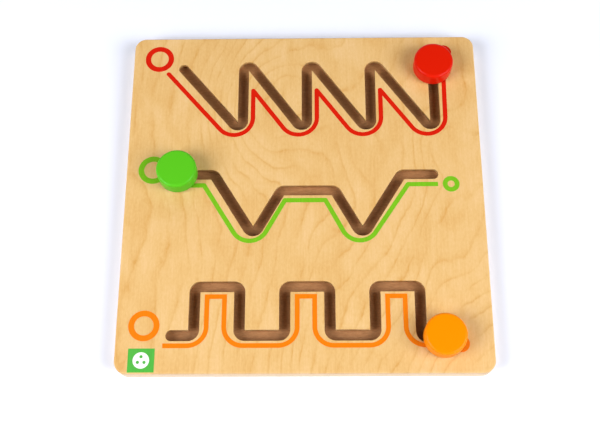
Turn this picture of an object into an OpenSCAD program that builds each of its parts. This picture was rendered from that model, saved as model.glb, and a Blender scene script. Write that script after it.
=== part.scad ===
/* [Board] */
// Side of the square board
board_size = 300; // [280:5:340]
// Radius of the board's four corners
corner_r = 10; // [4:1:20]
// Thickness of the slotted face layer
face_t = 4; // [3.5:0.5:6]
// Thickness of the middle layer that holds the wide channels
channel_t = 4.5; // [4.5:0.5:8]
// Thickness of the closing back panel
back_t = 6.5; // [5:0.5:9]

/* [Grooves] */
// Width of the slots in the face
groove_w = 9; // [8.5:0.25:10]
// Width of the hidden channels below the slots
channel_w = 14; // [13.5:0.5:16]

/* [Zigzag groove] */
// Left edge of the first upright leg
zigzag_x = -57.1; // [-60:0.1:-55]
// Distance from one upright leg to the next
zigzag_pitch = 55.2; // [54:0.1:56]
// Inner corners of the lower bends
zigzag_low = 68.5; // [66:0.1:74]
// Inner corners of the upper bends
zigzag_high = 117.1; // [112:0.1:119]

/* [Valley groove] */
// Middle line of the first level leg
valley_high = 18.4; // [16:0.1:22]
// Middle line of the last level leg
valley_end = 17.8; // [16:0.1:22]
// Middle line of the short centre leg
valley_mid = 3.7; // [0:0.1:8]
// Inner corners at the bottom of the two valleys
valley_low = -27.7; // [-32:0.1:-24]

/* [Square wave groove] */
// Middle line of the first upright leg
wave_x = -88; // [-90:0.1:-86]
// Distance between upright legs
wave_pitch = 36.2; // [35.5:0.1:36.4]
// Middle line of the lower legs
wave_low = -119.7; // [-122:0.1:-115]
// Middle line of the upper legs
wave_high = -79.7; // [-85:0.1:-75]
// Middle line of the last leg, under the knob
wave_end = -121.4; // [-123:0.1:-115]

/* [Printed guides] */
// Width of the printed guide lines
guide_w = 3.8; // [3:0.1:4.5]
// Outside radius of the start rings
start_ring_r = 12.5; // [11:0.1:13]
// Width of the start rings
start_ring_w = 4.7; // [3:0.1:6]
// Outside radius of the finish rings
finish_ring_r = 7; // [6:0.1:8]
// Width of the finish rings
finish_ring_w = 4; // [2:0.1:5]
// Thickness of the ink and label films
film_t = 0.1; // [0.05:0.01:0.15]

/* [Knobs] */
// Diameter of a knob
knob_d = 33.5; // [30:0.5:36]
// Height of a knob
knob_h = 14.5; // [11:0.5:16]
// Rounding of a knob's rims
knob_edge_r = 2.75; // [1:0.25:4]
// Gap between the board's face and a knob
knob_gap = 1; // [0.9:0.05:1.5]

/* [Hidden] */
$fn = 96;

cut = 0.5;
shy = 0.02;
lap = 0.3;
lap_angle = 1.5;
play = 0.05;
press_play = 0.02;
face_z = back_t + channel_t;
top_z = face_z + face_t;

red_paint = [0.86, 0.10, 0.05];
green_paint = [0.36, 0.78, 0.14];
orange_paint = [1.00, 0.58, 0.04];
birch = [0.92, 0.77, 0.56];
steel = [0.72, 0.73, 0.75];
brass = [0.80, 0.64, 0.30];
nylon = [0.93, 0.92, 0.88];

// A route is a list of [x, y, r]. The middle line of a groove or guide runs
// straight between the points and bends round each with radius |r|: r is above
// zero where it turns left, below zero where it turns right, and zero at a
// sharp corner or an end.
function leg_angle(a, b) =
    atan2(b.y - a.y, b.x - a.x) - asin((b.z - a.z) / norm([b.x - a.x, b.y - a.y]));
function touch(p, angle) = [p.x + p.z * sin(angle), p.y - p.z * cos(angle)];

bend = groove_w / 2;

zigzag_route = concat(
    [[-105.5, 119.5, 0]],
    [for (i = [0:3], top = [0, 1])
        if (i < 3 || top == 0)
            [zigzag_x + i * zigzag_pitch + top * groove_w,
             top == 0 ? zigzag_low : zigzag_high,
             top == 0 ? bend : -bend]],
    [[zigzag_x + 3 * zigzag_pitch + bend, 121.4, 0]]);

valley_route = [
    [-108.4, valley_high, 0],
    [-78.2, valley_high - bend, -bend],
    [-42.2, valley_low, bend],
    [-16.7, valley_mid - bend, -bend],
    [23.2, valley_mid - bend, -bend],
    [48.3, valley_low, bend],
    [84.2, valley_end - bend, -bend],
    [108.5, valley_end, 0]];

wave_route = concat(
    [[-105.8, wave_low, 0]],
    [for (i = [0:5], top = [0, 1])
        let (goes_up = i % 2 == 0, high = goes_up == (top == 1), x = wave_x + i * wave_pitch,
            low = i < 5 ? wave_low : wave_end)
            [x + (top == 1 ? bend : -bend),
             high ? wave_high - bend : low + bend,
             high ? -bend : bend]],
    [[111.5, wave_end, 0]]);

zigzag_guide_bend = 16;
zigzag_guide_x = -60;
zigzag_guide_low = 71;
zigzag_guide_high = 97.5;
zigzag_guide = concat(
    [[-118.8, 114.4, 0]],
    [for (i = [0:3], top = [0, 1])
        if (i < 3 || top == 0)
            [zigzag_guide_x + i * zigzag_pitch + top * zigzag_guide_bend,
             top == 0 ? zigzag_guide_low : zigzag_guide_high,
             top == 0 ? zigzag_guide_bend : 0]],
    [[122.2, 122.4, 0]]);

valley_guide_bend = 15.5;
valley_guide_high = 8.6;
valley_guide_mid = -5.2;
valley_guide_low = -25.3;
valley_guide = [
    [-107, valley_guide_high, 0],
    [-84, valley_guide_high, 0],
    [-45, valley_guide_low, valley_guide_bend],
    [-16, valley_guide_mid, 0],
    [17.8, valley_guide_mid, 0],
    [46, valley_guide_low, valley_guide_bend],
    [87.2, valley_guide_high, 0],
    [112.2, valley_guide_high, 0]];

wave_guide_bend = 15;
wave_guide_y = -128;
wave_guide_high = -88;
wave_guide_half = 7;
wave_guide_shift = -1.1;
wave_guide_foot = wave_guide_half + wave_guide_bend;
wave_guide = concat(
    [[-112.2, wave_guide_y, 0]],
    [for (i = [0:2])
        let (x = wave_x + (2 * i + 0.5) * wave_pitch + wave_guide_shift)
            each [[x - wave_guide_foot, wave_guide_y + wave_guide_bend, wave_guide_bend],
                [x - wave_guide_half, wave_guide_high, 0],
                [x + wave_guide_half, wave_guide_high, 0],
                [x + wave_guide_foot, wave_guide_y + wave_guide_bend, wave_guide_bend]]],
    [[112.2, wave_guide_y, 0]]);

// How far a loose knob rests off the middle line of its slot
lean = 0.7;
red_rest = [zigzag_x + 3 * zigzag_pitch + bend - lean, 118.2];
green_rest = [-106.1, valley_high];
orange_rest = [110.3, wave_end - lean];

label_size = [21, 19];
label_at = [-128.5, -139.6];
label_spot_r = 6.5;
label_dot_r = 1.3;
label_dot_place_r = 3;

screw_columns = [-138, 0, 138];
screw_rows = [-138, -56, 42, 138];
wood_screw_len = 12;
wood_screw_r = 1.5;
wood_screw_head_r = 3.5;
wood_screw_head_h = 2;
wood_screw_tip = 2;
wood_screw_tip_r = 0.2;
wood_screw_room = 0.2;
wood_screw_cross = [4, 0.8, 1.2];

bush_r = bend - 0.9;
bush_bore_r = 2.6;
slip_washer_r = 10;
slip_washer_t = 0.7;
washer_r = channel_w / 2 - 1;
washer_t = 1;
washer_gap = 0.2;
bolt_r = 2.5;
bolt_head_r = 4.75;
bolt_head_h = 2.6;
bolt_cross = [5, 1, 1.6];
bolt_reach = 7;
insert_r = 4;
insert_len = 9;
knob_z = top_z + knob_gap;
washer_z = face_z - washer_gap - washer_t;

// One bend of a band: the part of a ring between two leg angles. It is a hair
// narrower than the legs and reaches a little way into them, so that they join
// with clean edges.
module bend_sector(p, angle_in, angle_out, half, height) {
    turn = (angle_out - angle_in + 540) % 360 - 180;
    first = turn > 0 ? angle_in - 90 : angle_out + 90;
    r = abs(p.z);
    inside = r > half ? r - half + shy : lap / 2;
    outside = r + half - shy;
    translate([p.x, p.y, 0])
        rotate([0, 0, first - lap_angle])
            rotate_extrude(angle = abs(turn) + 2 * lap_angle)
                translate([inside, 0])
                    square([outside - inside, height]);
}

// One straight leg of a band, reaching past its bends by the lap or, at a square
// corner, by half its width
module leg(a, b, half, height, square_joins, first, last) {
    angle = leg_angle(a, b);
    from = touch(a, angle);
    to = touch(b, angle);
    before = first ? 0 : square_joins && a.z == 0 ? half : lap;
    after = last ? 0 : square_joins && b.z == 0 ? half : lap;
    translate([from.x, from.y, 0])
        rotate([0, 0, angle])
            translate([-before, -half, 0])
                cube([norm(to - from) + before + after, 2 * half, height]);
}

// A band of constant width along a route, from z = 0 up
module band(route, half, height, round_ends = true, square_joins = false) {
    last = len(route) - 1;
    for (i = [0:last - 1])
        leg(route[i], route[i + 1], half, height, square_joins, i == 0, i == last - 1);
    for (i = [1:last - 1])
        if (!square_joins || route[i].z != 0)
            bend_sector(route[i], leg_angle(route[i - 1], route[i]),
                leg_angle(route[i], route[i + 1]), half, height);
    if (round_ends)
        for (p = [route[0], route[last]])
            translate([p.x, p.y, 0])
                cylinder(r = half - shy, h = height);
}

module grooves(width, height) {
    band(zigzag_route, width / 2, height);
    band(valley_route, width / 2, height);
    band(wave_route, width / 2, height);
}

// A square sheet with round corners, centred on the origin
module sheet(size, r, t) {
    inner = size - 2 * r;
    translate([-size / 2, -inner / 2, 0])
        cube([size, inner, t]);
    translate([-inner / 2, -size / 2, 0])
        cube([inner, size, t]);
    for (x = [-inner / 2, inner / 2], y = [-inner / 2, inner / 2])
        translate([x, y, 0])
            cylinder(r = r, h = t);
}

module at_screws() {
    for (x = screw_columns, y = screw_rows)
        translate([x, y, 0])
            children();
}

module ring(r, width, t) {
    difference() {
        cylinder(r = r, h = t);
        translate([0, 0, -cut])
            cylinder(r = r - width, h = t + 2 * cut);
    }
}

module start_ring(x, y) {
    translate([x, y, top_z])
        ring(start_ring_r, start_ring_w, film_t);
}

module finish_ring(x, y) {
    translate([x, y, top_z])
        ring(finish_ring_r, finish_ring_w, film_t);
}

// Outline of a turned disc with both rims rounded
module rounded_disc_profile(r, h, edge) {
    square([r - edge, h]);
    translate([0, edge])
        square([r, h - 2 * edge]);
    for (y = [edge, h - edge])
        translate([r - edge, y])
            circle(r = edge);
}

module at_knob(rest, z) {
    translate([rest.x, rest.y, z])
        children();
}

module knob_turning() {
    difference() {
        rotate_extrude()
            rounded_disc_profile(knob_d / 2, knob_h, knob_edge_r);
        translate([0, 0, -cut])
            cylinder(r = insert_r + press_play, h = insert_len + cut);
    }
}

module flat_washer(r, bore, t) {
    difference() {
        cylinder(r = r, h = t);
        translate([0, 0, -cut])
            cylinder(r = bore, h = t + 2 * cut);
    }
}

module threaded_insert() {
    difference() {
        cylinder(r = insert_r, h = insert_len);
        translate([0, 0, -cut])
            cylinder(r = bolt_r + play, h = insert_len + 2 * cut);
    }
}

module slot_bush() {
    bottom = washer_z + washer_t + play;
    translate([0, 0, bottom])
        flat_washer(bush_r, bush_bore_r, knob_z - play - bottom);
}

// The cross-shaped cutter for a screw head, from z = 0 up
module cross_recess(size) {
    for (a = [0, 90])
        rotate([0, 0, a])
            translate([-size.x / 2, -size.y / 2, -cut])
                cube([size.x, size.y, size.z + cut]);
}

module knob_screw() {
    difference() {
        union() {
            translate([0, 0, -bolt_head_h])
                cylinder(r = bolt_head_r, h = bolt_head_h);
            cylinder(r = bolt_r, h = knob_z + bolt_reach - washer_z);
        }
        translate([0, 0, -bolt_head_h])
            cross_recess(bolt_cross);
    }
}

module wood_screw() {
    difference() {
        union() {
            cylinder(r1 = wood_screw_head_r, r2 = wood_screw_r - play, h = wood_screw_head_h);
            cylinder(r = wood_screw_r - play, h = wood_screw_len - wood_screw_tip);
            translate([0, 0, wood_screw_len - wood_screw_tip])
                cylinder(r1 = wood_screw_r - play, r2 = wood_screw_tip_r, h = wood_screw_tip);
        }
        cross_recess(wood_screw_cross);
    }
}

module wood_screw_hole() {
    translate([0, 0, -cut])
        cylinder(r = wood_screw_r, h = wood_screw_len + wood_screw_room + cut);
    cylinder(r1 = wood_screw_head_r + play, r2 = wood_screw_r, h = wood_screw_head_h + play);
}

module face_board() {
    color(birch)
        translate([0, 0, face_z])
            difference() {
                sheet(board_size, corner_r, face_t);
                translate([0, 0, -cut])
                    grooves(groove_w, face_t + 2 * cut);
                translate([0, 0, -face_z])
                    at_screws()
                        wood_screw_hole();
            }
}

module channel_board() {
    color(birch)
        translate([0, 0, back_t])
            difference() {
                sheet(board_size, corner_r, channel_t);
                translate([0, 0, -cut])
                    grooves(channel_w, channel_t + 2 * cut);
                translate([0, 0, -back_t])
                    at_screws()
                        wood_screw_hole();
            }
}

module back_panel() {
    color(birch)
        difference() {
            sheet(board_size, corner_r, back_t);
            at_screws()
                wood_screw_hole();
        }
}

module back_screws() {
    color(steel)
        at_screws()
            wood_screw();
}

module red_guide_print() {
    color(red_paint) {
        translate([0, 0, top_z])
            band(zigzag_guide, guide_w / 2, film_t);
        start_ring(-127.4, 129.3);
        finish_ring(123.2, 134.2);
    }
}

module green_guide_print() {
    color(green_paint) {
        translate([0, 0, top_z])
            band(valley_guide, guide_w / 2, film_t, round_ends = false);
        start_ring(-127.5, 22.8);
        finish_ring(123.2, 8.7);
    }
}

module orange_guide_print() {
    color(orange_paint) {
        translate([0, 0, top_z])
            band(wave_guide, guide_w / 2, film_t, round_ends = false, square_joins = true);
        start_ring(-127.7, -111.8);
        finish_ring(123.3, -126.9);
    }
}

module corner_label() {
    color(green_paint)
        translate([label_at.x - label_size.x / 2, label_at.y - label_size.y / 2, top_z])
            cube([label_size.x, label_size.y, film_t]);
}

// A plain white disc with three round windows
module corner_label_spot() {
    color("white")
        translate([label_at.x, label_at.y, top_z + film_t])
            difference() {
                cylinder(r = label_spot_r, h = film_t);
                for (a = [90, 210, 330])
                    rotate([0, 0, a])
                        translate([label_dot_place_r, 0, -cut])
                            cylinder(r = label_dot_r, h = film_t + 2 * cut);
            }
}

module red_knob() {
    color(red_paint) at_knob(red_rest, knob_z) knob_turning();
}

module red_threaded_insert() {
    color(brass) at_knob(red_rest, knob_z) threaded_insert();
}

module red_slip_washer() {
    color(nylon) at_knob(red_rest, top_z + washer_gap) flat_washer(slip_washer_r, bush_r + play, slip_washer_t);
}

module red_slot_bush() {
    color(nylon) at_knob(red_rest, 0) slot_bush();
}

module red_retaining_washer() {
    color(steel) at_knob(red_rest, washer_z) flat_washer(washer_r, bolt_r + play, washer_t);
}

module red_knob_screw() {
    color(steel) at_knob(red_rest, washer_z) knob_screw();
}

module green_knob() {
    color(green_paint) at_knob(green_rest, knob_z) knob_turning();
}

module green_threaded_insert() {
    color(brass) at_knob(green_rest, knob_z) threaded_insert();
}

module green_slip_washer() {
    color(nylon) at_knob(green_rest, top_z + washer_gap) flat_washer(slip_washer_r, bush_r + play, slip_washer_t);
}

module green_slot_bush() {
    color(nylon) at_knob(green_rest, 0) slot_bush();
}

module green_retaining_washer() {
    color(steel) at_knob(green_rest, washer_z) flat_washer(washer_r, bolt_r + play, washer_t);
}

module green_knob_screw() {
    color(steel) at_knob(green_rest, washer_z) knob_screw();
}

module orange_knob() {
    color(orange_paint) at_knob(orange_rest, knob_z) knob_turning();
}

module orange_threaded_insert() {
    color(brass) at_knob(orange_rest, knob_z) threaded_insert();
}

module orange_slip_washer() {
    color(nylon) at_knob(orange_rest, top_z + washer_gap) flat_washer(slip_washer_r, bush_r + play, slip_washer_t);
}

module orange_slot_bush() {
    color(nylon) at_knob(orange_rest, 0) slot_bush();
}

module orange_retaining_washer() {
    color(steel) at_knob(orange_rest, washer_z) flat_washer(washer_r, bolt_r + play, washer_t);
}

module orange_knob_screw() {
    color(steel) at_knob(orange_rest, washer_z) knob_screw();
}

face_board();
channel_board();
back_panel();
back_screws();
red_guide_print();
green_guide_print();
orange_guide_print();
corner_label();
corner_label_spot();
red_knob();
red_threaded_insert();
red_slip_washer();
red_slot_bush();
red_retaining_washer();
red_knob_screw();
green_knob();
green_threaded_insert();
green_slip_washer();
green_slot_bush();
green_retaining_washer();
green_knob_screw();
orange_knob();
orange_threaded_insert();
orange_slip_washer();
orange_slot_bush();
orange_retaining_washer();
orange_knob_screw();
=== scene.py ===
# %% [markdown]
# # A groove tracing board in birch plywood
#
# A child pulls three painted knobs along three winding grooves and follows the
# printed line beside each one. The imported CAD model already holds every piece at
# its real size, so this script only makes the looks: the softened rims of the
# wood, the turned knobs, and a material for every surface.

# %% Load the frame
import math

import bmesh
import bpy
from mathutils import Matrix, Vector


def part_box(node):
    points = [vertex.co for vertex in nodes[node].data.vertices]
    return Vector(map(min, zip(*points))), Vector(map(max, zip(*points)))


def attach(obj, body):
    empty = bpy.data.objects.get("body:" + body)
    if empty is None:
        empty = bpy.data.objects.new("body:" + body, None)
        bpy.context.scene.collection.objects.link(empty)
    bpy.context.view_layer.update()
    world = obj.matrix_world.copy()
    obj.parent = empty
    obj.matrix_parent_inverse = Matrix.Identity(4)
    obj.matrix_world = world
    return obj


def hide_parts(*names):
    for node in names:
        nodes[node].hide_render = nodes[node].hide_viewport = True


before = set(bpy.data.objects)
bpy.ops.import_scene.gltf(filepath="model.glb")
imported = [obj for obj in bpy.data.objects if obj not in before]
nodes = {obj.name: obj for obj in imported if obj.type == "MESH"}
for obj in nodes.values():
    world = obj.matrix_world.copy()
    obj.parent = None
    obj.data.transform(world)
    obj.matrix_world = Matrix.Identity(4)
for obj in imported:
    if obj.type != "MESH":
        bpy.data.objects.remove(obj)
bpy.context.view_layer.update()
MM = 0.001
COLOURS = ("red", "green", "orange")

# %% [markdown]
# ## The camera
#
# The board is seen from in front and well above, leaning over it as a player
# does. Camera angles typed in by hand are hard to read later, so the camera is
# placed from the middle of the board's top face, aimed at a point a little in
# front of it, and then rolled slightly about its own line of sight.

# %% Camera
board_low, board_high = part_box("face_board")
top_z = board_high.z
top_centre = Vector((0.0, 0.0, top_z))

CAMERA_FROM_CENTRE = Vector((7.75, -281.6, 710.7)) * MM
AIM_FROM_CENTRE = Vector((-3.35, -25.0, 0.0)) * MM
CAMERA_ROLL_DEG = 2.64
LENS_MM = 54.86
SENSOR_MM = 36.0
NEAREST_SEEN = 10 * MM

camera_data = bpy.data.cameras.new("camera")
camera_data.lens = LENS_MM
camera_data.sensor_width = SENSOR_MM
camera_data.clip_start = NEAREST_SEEN
camera = bpy.data.objects.new("camera", camera_data)
bpy.context.scene.collection.objects.link(camera)
camera_place = top_centre + CAMERA_FROM_CENTRE
sight = top_centre + AIM_FROM_CENTRE - camera_place
turn = sight.to_track_quat("-Z", "Y").to_matrix().to_4x4()
roll = Matrix.Rotation(-math.radians(CAMERA_ROLL_DEG), 4, "Z")
camera.matrix_world = Matrix.Translation(camera_place) @ turn @ roll
bpy.context.scene.camera = camera
print("camera distance, m:", round(sight.length, 3))

# %% [markdown]
# ## The lamps
#
# Two wide soft lamps stand at the left and the right, a little in front of the
# board. Grooves that run from left to right are lit along their length, and the
# ones that run front to back stay dark. A third lamp stands low and far behind
# the board and fills in from the back. If it stood any higher, the flat tops of
# the knobs would mirror it and look pale.

# %% Lamps
# Each lamp's place in metres, its power in watts, and its width and height in metres.
LAMPS = {
    "lamp_left": ((-1.05, -0.46, 0.9), 21.0, (0.9, 0.9)),
    "lamp_right": ((1.05, -0.46, 0.9), 21.0, (0.9, 0.9)),
    "lamp_back": ((0.0, 1.9, 0.9), 6.0, (2.4, 0.6)),
}


def lamp(name, place, power, size):
    """Adds a rectangular lamp that faces the middle of the board."""
    data = bpy.data.lights.new(name, "AREA")
    data.shape = "RECTANGLE"
    data.size, data.size_y = size
    data.energy = power
    made = bpy.data.objects.new(name, data)
    made.location = place
    made.rotation_euler = (top_centre - place).to_track_quat("-Z", "Y").to_euler()
    bpy.context.scene.collection.objects.link(made)


for name, (place, power, size) in LAMPS.items():
    lamp(name, Vector(place), power, size)
bpy.context.scene.view_settings.view_transform = "Standard"
print("lamps:", ", ".join(LAMPS))

# %% [markdown]
# ## Small helpers for materials
#
# Every finish here is a tree of nodes around one Principled shader. `add` puts a
# node in the tree, sets it and links it in one line. `finish_named` starts a
# material with its shader in place. The others are short names for what nearly
# every finish needs: a measured position, noise of a known size, and arithmetic.

# %% Material helpers


def srgb(code):
    """Turns an sRGB hex value into the linear colour that a shader needs."""
    parts = [int(code[i:i + 2], 16) / 255 for i in (1, 3, 5)]
    linear = [c / 12.92 if c <= 0.04045 else ((c + 0.055) / 1.055) ** 2.4 for c in parts]
    return (*linear, 1.0)


def add(tree, kind, inputs=None, **settings):
    """Adds a node. A value in inputs is a number or colour, or a socket to link from."""
    made = tree.nodes.new(kind)
    for key, value in settings.items():
        setattr(made, key, value)
    for key, value in (inputs or {}).items():
        if isinstance(value, bpy.types.NodeSocket):
            tree.links.new(value, made.inputs[key])
        else:
            made.inputs[key].default_value = value
    return made


def finish_named(name, colour, roughness, ior=1.5, metallic=0.0):
    """Starts a material from its typical values and gives back the tree and the shader."""
    material = bpy.data.materials.new(name)
    material.use_nodes = True
    tree = material.node_tree
    shader = tree.nodes["Principled BSDF"]
    shader.inputs["Base Color"].default_value = srgb(colour)
    shader.inputs["Roughness"].default_value = roughness
    shader.inputs["IOR"].default_value = ior
    shader.inputs["Metallic"].default_value = metallic
    return material, tree, shader


def millimetres(tree, stretch=(1, 1, 1)):
    """The point on the piece, in millimetres, divided by stretch along each axis."""
    where = add(tree, "ShaderNodeTexCoord")
    scale = tuple(1 / (MM * s) for s in stretch)
    return add(tree, "ShaderNodeMapping", {"Vector": where.outputs["Object"],
                                           "Scale": scale}).outputs[0]


def noise(tree, stretch, detail=2.0, roughness=0.5, distortion=0.0):
    """Noise whose blotches are about as large as stretch, in millimetres."""
    made = add(tree, "ShaderNodeTexNoise",
               {"Vector": millimetres(tree, stretch), "Scale": 1.0, "Detail": detail,
                "Roughness": roughness, "Distortion": distortion})
    return made.outputs["Fac"]


def spread(tree, value, low, high, low_in=0.3, high_in=0.7):
    """Noise, which lies mostly from 0.3 to 0.7, brought to the range from low to high."""
    return add(tree, "ShaderNodeMapRange", {"Value": value, "From Min": low_in,
                                            "From Max": high_in, "To Min": low,
                                            "To Max": high}).outputs[0]


def maths(tree, operation, a, b=0.0, c=0.0):
    """One step of arithmetic on numbers or sockets."""
    return add(tree, "ShaderNodeMath", {0: a, 1: b, 2: c}, operation=operation).outputs[0]


def set_ramp(ramp, stops):
    """Fills a colour ramp. The first two stops take the places of its own two."""
    for element, (position, colour) in zip(ramp.elements, stops):
        element.position, element.color = position, colour
    for position, colour in stops[2:]:
        ramp.elements.new(position).color = colour


def shade(tree, shader, colour, amount):
    """Gives the shader a colour that is made lighter or darker by amount."""
    scaled = add(tree, "ShaderNodeVectorMath", {0: colour}, operation="SCALE")
    tree.links.new(amount, scaled.inputs["Scale"])
    tree.links.new(scaled.outputs[0], shader.inputs["Base Color"])


def roughen(tree, shader, height, strength, depth_mm):
    """Gives the shader a surface that follows a height from 0 to 1."""
    bump = add(tree, "ShaderNodeBump", {"Height": height, "Strength": strength,
                                        "Distance": depth_mm * MM})
    tree.links.new(bump.outputs[0], shader.inputs["Normal"])


def put_on(piece, *materials):
    """Takes a piece's materials off and puts these on."""
    piece.data.materials.clear()
    for material in materials:
        piece.data.materials.append(material)


# %% [markdown]
# ## The studio
#
# The board lies on a sweep of white paper, lit so strongly that the paper burns
# out to plain white and only the soft shadows at the board's foot stay. The room
# is pale near the horizon and dark overhead. The flat lacquered tops face the
# dark part, so they mirror almost nothing and keep their full colour.

# %% Sky and floor
SKY_STRENGTH = 0.45
SKY_PALE_BELOW = 0.35
SKY_DARK_ABOVE = 0.8
FLOOR_SIZE = 6.0
FLOOR_GAP_MM = 0.02

world = bpy.data.worlds.new("studio")
world.use_nodes = True
studio = world.node_tree
look = add(studio, "ShaderNodeTexCoord")
height = add(studio, "ShaderNodeSeparateXYZ", {"Vector": look.outputs["Generated"]})
paleness = spread(studio, height.outputs["Z"], SKY_STRENGTH, 0.0, SKY_PALE_BELOW, SKY_DARK_ABOVE)
studio.links.new(paleness, studio.nodes["Background"].inputs["Strength"])
studio.nodes["Background"].inputs["Color"].default_value = srgb("#FFFFFF")
bpy.context.scene.world = world

# Uncoated paper scatters light evenly, so it has no shine at all.
floor_finish, _, _ = finish_named("white_paper_sweep", "#EBEFFD", 0.95)
bpy.ops.mesh.primitive_plane_add(size=FLOOR_SIZE, location=(0, 0, -FLOOR_GAP_MM * MM))
floor = bpy.context.object
floor.name = "floor"
put_on(floor, floor_finish)
print("floor, m:", FLOOR_SIZE, "square")

# %% [markdown]
# ## Birch veneer under clear lacquer
#
# The face is rotary-cut birch: the log is peeled like a roll of paper, so the
# growth rings show as wandering map-like contours and not as straight stripes.
# Blender's wave texture makes planks with straight stripes, so it isn't used.
# Instead a slowly changing height field stands for the wood that the knife
# passed through, and each ring is one contour of it. Hills in the field make the
# closed loops. Finer noise, drawn out along the grain, gives the fibres and
# pores.

# %% Contours of the growth rings
RING_MM = 18.0
# The board is thinner than 900 mm by far, so this noise is the same all the way through it.
THROUGH_MM = 900
SLOW_NOISE_MM, SLOW_NOISE_RINGS = (75, 130, THROUGH_MM), 4.8
QUICK_NOISE_MM, QUICK_NOISE_RINGS = (8, 17, THROUGH_MM), 0.4
# Each hill: x and y of its middle, its half width and depth in mm, and its height in rings.
HILLS_MM = ((140, -190, 170, 130, 10.0), (-28, 88, 46, 62, 6.6),
            (45, 42, 22, 42, 2.2), (112, 45, 26, 26, 1.8))
EULER = 2.718


def ring_field(tree):
    """A slope to the right, slow and quick noise, and the hills, counted in rings."""
    place = millimetres(tree)
    x_mm = add(tree, "ShaderNodeSeparateXYZ", {"Vector": place}).outputs["X"]
    field = maths(tree, "MULTIPLY", x_mm, 1 / RING_MM)
    slow = noise(tree, SLOW_NOISE_MM, roughness=0.4, distortion=0.3)
    field = maths(tree, "MULTIPLY_ADD", slow, SLOW_NOISE_RINGS, field)
    field = maths(tree, "MULTIPLY_ADD", noise(tree, QUICK_NOISE_MM), QUICK_NOISE_RINGS, field)
    for x, y, wide, deep, rise in HILLS_MM:
        near = add(tree, "ShaderNodeMapping", {"Vector": place, "Scale": (1 / wide, 1 / deep, 0.0),
                                               "Location": (-x / wide, -y / deep, 0.0)})
        away = near.outputs[0]
        square = add(tree, "ShaderNodeVectorMath", {0: away, 1: away}, operation="DOT_PRODUCT")
        fall = maths(tree, "POWER", EULER, square.outputs["Value"])
        field = maths(tree, "ADD", maths(tree, "DIVIDE", rise, fall), field)
    return field


print("ring contours about every", RING_MM, "mm,", len(HILLS_MM), "hills")

# %% Colour and fibre of the veneer
# How dark the wood gets from one ring (0) to the next (1): a thin late-wood line.
RING_DARKNESS = ((0.0, 0.7), (0.07, 0.15), (0.2, 0.0), (0.5, 0.05), (0.78, 0.25),
                 (0.88, 0.55), (0.95, 1.0))
# The tone scale runs from late wood (0) to the palest early wood (1).
TONES = ((0.0, "#CB964C"), (1.0, "#E3BE8A"), (0.55, "#DAB172"))
# The ring lines fade in and out in patches, from nearly nothing to clearly seen.
PATCH_MM, PATCH_NOISE, LINE_STRENGTH = (28, 40, THROUGH_MM), (0.36, 0.62), (0.02, 0.4)
# Between the lines the wood is cloudy.
CLOUD_MM, CLOUD_TONES = (26, 44, THROUGH_MM), (0.4, 0.76)
# Fibres, pores and fine lines: the blotch size in mm and how far the tone moves.
PORE_MM = (0.6, 14, 14)
FIBRES = (((2.0, 60, 60), 0.08), ((1.5, 3.0, 3.0), 0.12), (PORE_MM, 0.1))
PORE_STRENGTH, PORE_DEPTH_MM = 0.12, 0.05


def birch_veneer():
    """Satin lacquer over birch: the eye sees the figure, and only a wide soft shine."""
    material, tree, shader = finish_named("lacquered_birch_veneer", "#DBB57C", 0.45)
    line = add(tree, "ShaderNodeValToRGB", {"Fac": maths(tree, "FRACT", ring_field(tree))})
    set_ramp(line.color_ramp, [(at, (dark, dark, dark, 1)) for at, dark in RING_DARKNESS])
    strength = spread(tree, noise(tree, PATCH_MM), *LINE_STRENGTH, *PATCH_NOISE)
    darkening = maths(tree, "MULTIPLY", line.outputs["Color"], strength)
    cloud = spread(tree, noise(tree, CLOUD_MM, distortion=0.6), *CLOUD_TONES)
    tone = maths(tree, "SUBTRACT", cloud, darkening)
    for blotch, reach in FIBRES:
        fibre = noise(tree, blotch, detail=3.0, roughness=0.6)
        tone = maths(tree, "ADD", tone, spread(tree, fibre, -reach, reach))
    wood = add(tree, "ShaderNodeValToRGB", {"Fac": tone})
    set_ramp(wood.color_ramp, [(at, srgb(code)) for at, code in TONES])
    tree.links.new(wood.outputs["Color"], shader.inputs["Base Color"])
    pores = noise(tree, PORE_MM, detail=3.0, roughness=0.6)
    roughen(tree, shader, pores, PORE_STRENGTH, PORE_DEPTH_MM)
    return material


veneer = birch_veneer()
print("made", veneer.name)

# %% [markdown]
# ## Sawn plywood edges
#
# An edge of birch plywood is a stack of thin veneers, each turned a quarter turn
# from the next, so light long grain and darker end grain alternate about every
# 1.4 mm, with a thin glue line between them. A colour ramp that repeats with the
# height draws the whole stack on any piece. The walls of the grooves were cut by
# a router and get the same stack in darker browns.

# %% Plywood edge and groove wall
PLY_PAIR_MM = 2.8
SAWN_GRAIN_MM, SAWN_SHADES = (3, 3, 0.4), (0.88, 1.05)
SAWN_STRENGTH, SAWN_DEPTH_MM = 0.3, 0.1


def plywood_edge(name, light, dark, glue):
    """Sawn or routed wood is open and dull: the eye sees stripes and hardly any shine."""
    material, tree, shader = finish_named(name, light, 0.6)
    place = add(tree, "ShaderNodeSeparateXYZ", {"Vector": millimetres(tree)})
    ply = maths(tree, "MULTIPLY", place.outputs["Z"], 1 / PLY_PAIR_MM)
    stack = add(tree, "ShaderNodeValToRGB", {"Fac": maths(tree, "FRACT", ply)})
    stops = ((0.0, glue), (0.05, light), (0.46, light), (0.5, glue), (0.54, dark),
             (0.96, dark), (1.0, glue))
    set_ramp(stack.color_ramp, [(at, srgb(code)) for at, code in stops])
    grain = noise(tree, SAWN_GRAIN_MM, detail=3.0)
    shade(tree, shader, stack.outputs["Color"], spread(tree, grain, *SAWN_SHADES))
    roughen(tree, shader, grain, SAWN_STRENGTH, SAWN_DEPTH_MM)
    return material


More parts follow.
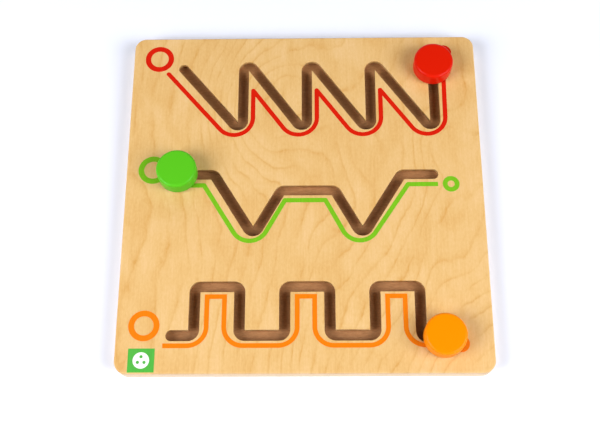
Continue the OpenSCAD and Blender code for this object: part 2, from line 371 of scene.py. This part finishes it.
edge_ply = plywood_edge("lacquered_plywood_edge", "#F3DFBE", "#DDB98C", "#B98E60")
wall_ply = plywood_edge("routed_plywood_wall", "#BA9064", "#AC825A", "#8A6644")
print("made", edge_ply.name, "and", wall_ply.name)

# %% [markdown]
# ## The slotted face
#
# The CAD face has razor-sharp rims. A real one is sanded: the outer rim is
# clearly rounded and the lips of the slots just broken. A Bevel modifier on the
# CAD mesh would have to cut through its long thin triangles and tears there. So
# only the outlines are taken from the CAD node, and the plate is built anew
# around them with every upper rim turned over in a quarter circle.

# %% Outlines of the CAD face
LEVEL_WITHIN_MM = 0.002
SHORTEST_STEP_MM = 0.35


def outline_loops(node, height):
    """The closed outlines, as lists of (x, y) in mm, of a CAD node's flat faces at a height."""
    mesh = nodes[node].data
    edges = {}
    for polygon in mesh.polygons:
        points = [mesh.vertices[i].co for i in polygon.vertices]
        if all(abs(p.z - height) < LEVEL_WITHIN_MM * MM for p in points):
            spots = [(round(p.x / MM, 3), round(p.y / MM, 3)) for p in points]
            for a, b in zip(spots, spots[1:] + spots[:1]):
                edges[(a, b)] = True
    # An edge between two faces is there both ways round. One on the outline is there once.
    follow = {a: b for (a, b) in edges if (b, a) not in edges}
    loops = []
    while follow:
        start = next(iter(follow))
        loop = [start]
        spot = follow.pop(start)
        while spot != start:
            loop.append(spot)
            spot = follow.pop(spot)
        loops.append(loop)
    return loops


def tidy_loop(loop, shortest):
    """Drops points that stand closer than shortest to the last one kept."""
    kept = [loop[0]]
    for p in loop[1:]:
        if math.dist(p, kept[-1]) >= shortest:
            kept.append(p)
    if math.dist(kept[0], kept[-1]) < shortest:
        kept.pop()
    return kept


loops = [tidy_loop(loop, SHORTEST_STEP_MM) for loop in outline_loops("face_board", top_z)]
loops.sort(key=len)
for loop in loops:
    xs = [p[0] for p in loop]
    print("outline of", len(loop), "points, x from", min(xs), "to", max(xs))

# %% [markdown]
# ## Building the face
#
# Every outline becomes a wall with its rim turned over. A point on the rim moves
# along the mitre between its two edges, so that corners stay crisp. The top and
# the underside are then filled in between the outlines, which makes the face one
# closed solid.

# %% Face mesh
VENEER, EDGE, WALL = 0, 1, 2
OUTER_RIM_MM = 1.2
SLOT_LIP_MM = 0.2
RIM_STEPS = 5
SHARPEST_MITRE = 0.3


def mitre(loop, i):
    """The way from point i into the wood, one unit in from both of its edges."""
    before, here, after = (Vector(loop[k % len(loop)]) for k in (i - 1, i, i + 1))
    a = (here - before).normalized()
    b = (after - here).normalized()
    left_a, left_b = Vector((-a.y, a.x)), Vector((-b.y, b.x))
    middle = (left_a + left_b).normalized()
    return middle / max(SHARPEST_MITRE, middle.dot(left_a))


def wall_rows(plate, loop, radius, bottom, top):
    """Rings of points up the wall of one outline and over its rounded rim."""
    ways = [mitre(loop, i) for i in range(len(loop))]
    rows = [[plate.verts.new((x, y, bottom)) for x, y in loop]]
    for step in range(RIM_STEPS + 1):
        turn = math.radians(90 * step / RIM_STEPS)
        inset = radius * (1 - math.cos(turn))
        height = top - radius + radius * math.sin(turn)
        rows.append([plate.verts.new((x + inset * w.x, y + inset * w.y, height))
                     for (x, y), w in zip(loop, ways)])
    return rows


def ring_edges(plate, ring):
    """The edges along a closed ring of points."""
    return [plate.edges.get((ring[i - 1], ring[i])) for i in range(len(ring))]


def face_mesh(loops, outer, bottom, top):
    """A plate in millimetres with these outlines and its upper rims rounded."""
    plate = bmesh.new()
    top_edges = []
    bottom_edges = []
    for loop in loops:
        rows = wall_rows(plate, loop, OUTER_RIM_MM if loop is outer else SLOT_LIP_MM, bottom, top)
        for low, high in zip(rows, rows[1:]):
            for i in range(len(loop)):
                j = (i + 1) % len(loop)
                strip = plate.faces.new((low[i], low[j], high[j], high[i]))
                strip.smooth = True
                if low is rows[0]:
                    strip.material_index = EDGE if loop is outer else WALL
        top_edges += ring_edges(plate, rows[-1])
        bottom_edges += ring_edges(plate, rows[0])
    bmesh.ops.triangle_fill(plate, edges=top_edges, use_beauty=True, normal=(0, 0, 1))
    underside = bmesh.ops.triangle_fill(plate, edges=bottom_edges, use_beauty=True,
                                        normal=(0, 0, -1))
    for item in underside["geom"]:
        if isinstance(item, bmesh.types.BMFace):
            item.material_index = WALL
    bmesh.ops.recalc_face_normals(plate, faces=plate.faces)
    return plate


def piece_from(work, name):
    """Turns a bmesh in millimetres into a piece in the scene."""
    bmesh.ops.scale(work, vec=(MM, MM, MM), verts=work.verts)
    mesh = bpy.data.meshes.new(name)
    work.to_mesh(mesh)
    work.free()
    piece = bpy.data.objects.new(name, mesh)
    bpy.context.scene.collection.objects.link(piece)
    return piece


outer = max(loops, key=lambda loop: max(p[0] for p in loop))
slotted_face = piece_from(face_mesh(loops, outer, board_low.z / MM, top_z / MM), "slotted_face")
put_on(slotted_face, veneer, edge_ply, wall_ply)
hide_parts("face_board")
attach(slotted_face, "board")
print("face mesh:", len(slotted_face.data.polygons), "faces")

# %% [markdown]
# ## The two hidden layers
#
# The middle layer and the back are birch plywood too. Their outer edges carry on
# the light stack of veneers. The flat sides of the back are blotchy brown, and its
# upper side is the floor of the grooves. One material does both: it asks which way
# the surface faces, so the CAD node needs no second material and no cut.

# %% Groove floor and inner layers
# Blotchy browns for the flat sides of the back, whose upper side is the groove floor.
BROWN_BLOTCH_MM = (4.0, 1.2, 1.2)
BROWN_TONES = ((0.3, "#96663C"), (0.7, "#B07E50"))
COUNTS_AS_FLAT = 0.5
# A Mix node has one set of inputs for each kind of data. These are the colour ones.
MIX_SHARE, MIX_A, MIX_B, MIX_RESULT = 0, 6, 7, 2


def back_plywood():
    """Plywood that is light on its upright edges and brown on its flat sides."""
    material = edge_ply.copy()
    material.name = "plywood_back_with_brown_faces"
    tree = material.node_tree
    shader = tree.nodes["Principled BSDF"]
    edge_colour = shader.inputs["Base Color"].links[0].from_socket
    blotches = noise(tree, BROWN_BLOTCH_MM, detail=4.0, roughness=0.65)
    brown_ramp = add(tree, "ShaderNodeValToRGB", {"Fac": blotches})
    set_ramp(brown_ramp.color_ramp, [(at, srgb(code)) for at, code in BROWN_TONES])
    normal = add(tree, "ShaderNodeNewGeometry").outputs["Normal"]
    facing = add(tree, "ShaderNodeSeparateXYZ", {"Vector": normal})
    upward = maths(tree, "ABSOLUTE", facing.outputs["Z"])
    flat = maths(tree, "GREATER_THAN", upward, COUNTS_AS_FLAT)
    both = add(tree, "ShaderNodeMix", {MIX_SHARE: flat, MIX_A: edge_colour,
                                       MIX_B: brown_ramp.outputs["Color"]}, data_type="RGBA")
    tree.links.new(both.outputs[MIX_RESULT], shader.inputs["Base Color"])
    return material


put_on(nodes["channel_board"], edge_ply)
put_on(nodes["back_panel"], back_plywood())
print("groove floor is", nodes["back_panel"].data.materials[0].name)

# %% [markdown]
# ## Printed lines and the label
#
# The guide lines are screen printed: ink is pushed through a mesh and dries to a
# thin matt film. The films are CAD nodes already, so they only need a material.
# The fibres of the veneer still show through as a faint unevenness. The label is
# a vinyl sticker with a plain mark.

# %% Inks
INKS = {"red": "#CC1A04", "green": "#72B41C", "orange": "#E67808"}
FIBRE_MM, FIBRE_SHADES = (0.7, 16, 16), (0.9, 1.05)
# A dry film mirrors less than solid plastic does, hence an IOR well below 1.5.
INK_ROUGHNESS, INK_IOR = 0.5, 1.2


def ink(name, code):
    """Matt ink: the eye sees one flat strong colour, a little uneven along the grain."""
    material, tree, shader = finish_named(name, code, INK_ROUGHNESS, INK_IOR)
    plain = add(tree, "ShaderNodeRGB")
    plain.outputs[0].default_value = srgb(code)
    fibre = noise(tree, FIBRE_MM, detail=3.0)
    shade(tree, shader, plain.outputs[0], spread(tree, fibre, *FIBRE_SHADES))
    return material


for c in COLOURS:
    put_on(nodes[c + "_guide_print"], ink(c + "_screen_ink", INKS[c]))
put_on(nodes["corner_label"], ink("green_vinyl", "#4FAC42"))
put_on(nodes["corner_label_spot"], ink("white_vinyl", "#F4F8F0"))
print("inks:", INKS)

# %% [markdown]
# ## The knobs
#
# Each knob is a beech disc, turned on a lathe and dipped in lacquer. Dipping
# leaves a smooth satin gloss and a slightly softer rim than the lathe cut. The
# shape is made as the lathe makes it, by turning one profile about the knob's
# own axis. A bevelled cylinder would look alike, but the profile also gives the
# slight crown of the top, which keeps it from shining like glass.

# %% Turned knobs
RIM_MM = 2.5
FOOT_MM = 1.5
CROWN_MM = 0.25
HUB_RADIUS_MM = 4.0
FOOT_STEPS, KNOB_RIM_STEPS, CROWN_STEPS = 6, 12, 8
SEGMENTS = 128


def knob_profile(radius, low, high):
    """Points (r, z) of a turned disc from its underside to the middle of its top."""
    flat = radius - RIM_MM
    points = [(HUB_RADIUS_MM, low), (radius - FOOT_MM, low)]
    for step in range(1, FOOT_STEPS + 1):
        turn = math.radians(90 * step / FOOT_STEPS)
        points.append((radius - FOOT_MM + FOOT_MM * math.sin(turn),
                       low + FOOT_MM - FOOT_MM * math.cos(turn)))
    for step in range(KNOB_RIM_STEPS + 1):
        turn = math.radians(90 * step / KNOB_RIM_STEPS)
        points.append((flat + RIM_MM * math.cos(turn),
                       high - CROWN_MM - RIM_MM + RIM_MM * math.sin(turn)))
    for step in range(1, CROWN_STEPS + 1):
        r = flat * (1 - step / CROWN_STEPS)
        points.append((r, high - CROWN_MM * (r / flat) ** 2))
    return points


def turned(name, centre, profile):
    """A solid of revolution about an upright axis, in millimetres. It ends on the axis."""
    work = bmesh.new()
    rings = []
    for r, z in profile[:-1]:
        rings.append([work.verts.new((centre.x + r * math.cos(2 * math.pi * k / SEGMENTS),
                                      centre.y + r * math.sin(2 * math.pi * k / SEGMENTS), z))
                      for k in range(SEGMENTS)])
    peak = work.verts.new((centre.x, centre.y, profile[-1][1]))
    for low, high in zip(rings, rings[1:]):
        for k in range(SEGMENTS):
            n = (k + 1) % SEGMENTS
            work.faces.new((low[k], low[n], high[n], high[k]))
    for k in range(SEGMENTS):
        work.faces.new((rings[-1][k], rings[-1][(k + 1) % SEGMENTS], peak))
    work.faces.new(list(reversed(rings[0])))
    for side in work.faces:
        side.smooth = True
    return piece_from(work, name)


# %% Lacquer
LACQUERS = {"red": "#D01A04", "green": "#54B81E", "orange": "#F08600"}
PEEL_MM, PEEL_STRENGTH, PEEL_DEPTH_MM = 1.25, 0.08, 0.3
# Lacquer has an IOR of about 1.5. A lower one is used because the real knobs mirror little.
LACQUER_ROUGHNESS, LACQUER_IOR = 0.3, 1.2


def lacquer(name, code):
    """Dipped lacquer: a strong colour and a satin line of light along the rim."""
    material, tree, shader = finish_named(name, code, LACQUER_ROUGHNESS, LACQUER_IOR)
    peel = noise(tree, (PEEL_MM, PEEL_MM, PEEL_MM))
    roughen(tree, shader, peel, PEEL_STRENGTH, PEEL_DEPTH_MM)
    return material


for c in COLOURS:
    low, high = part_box(c + "_knob")
    radius = (high.x - low.x) / (2 * MM)
    knob = turned("turned_" + c + "_knob", (low + high) / (2 * MM),
                  knob_profile(radius, low.z / MM, high.z / MM))
    put_on(knob, lacquer(c + "_dipped_lacquer", LACQUERS[c]))
    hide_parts(c + "_knob")
    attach(knob, c + "_knob_set")
    print(c, "knob, mm:", round(2 * radius, 1), "across")

# %% [markdown]
# ## Hardware
#
# The small parts below the knobs: zinc-plated screws and washers, brass inserts
# and nylon bushes. They hide in the grooves, so the CAD nodes are kept as they
# are and only get their materials. Plating dulls steel unevenly, which a little
# noise in the roughness shows. Turned brass is even and bright, and moulded
# nylon is milky and smooth.

# %% Metals and nylon
ZINC_CRYSTAL_MM, ZINC_ROUGHNESS = 0.5, (0.25, 0.42)


def zinc_plate():
    """Zinc plating on steel: a cool grey metal whose shine varies from spot to spot."""
    material, tree, shader = finish_named("zinc_plated_steel", "#C3C6CA", 0.32, metallic=1.0)
    speck = noise(tree, (ZINC_CRYSTAL_MM, ZINC_CRYSTAL_MM, ZINC_CRYSTAL_MM), detail=3.0)
    shine = spread(tree, speck, *ZINC_ROUGHNESS, low_in=0.0, high_in=1.0)
    tree.links.new(shine, shader.inputs["Roughness"])
    return material


zinc = zinc_plate()
brass, _, _ = finish_named("turned_brass", "#D9B25F", 0.3, metallic=1.0)
nylon, _, _ = finish_named("moulded_nylon", "#EDEBE0", 0.45, 1.53)
HARDWARE = {"_screw": zinc, "_screws": zinc, "_retaining_washer": zinc, "_insert": brass,
            "_bush": nylon, "_slip_washer": nylon}
for name, node in nodes.items():
    for ending, material in HARDWARE.items():
        if name.endswith(ending):
            put_on(node, material)
            print(name, "is", material.name)
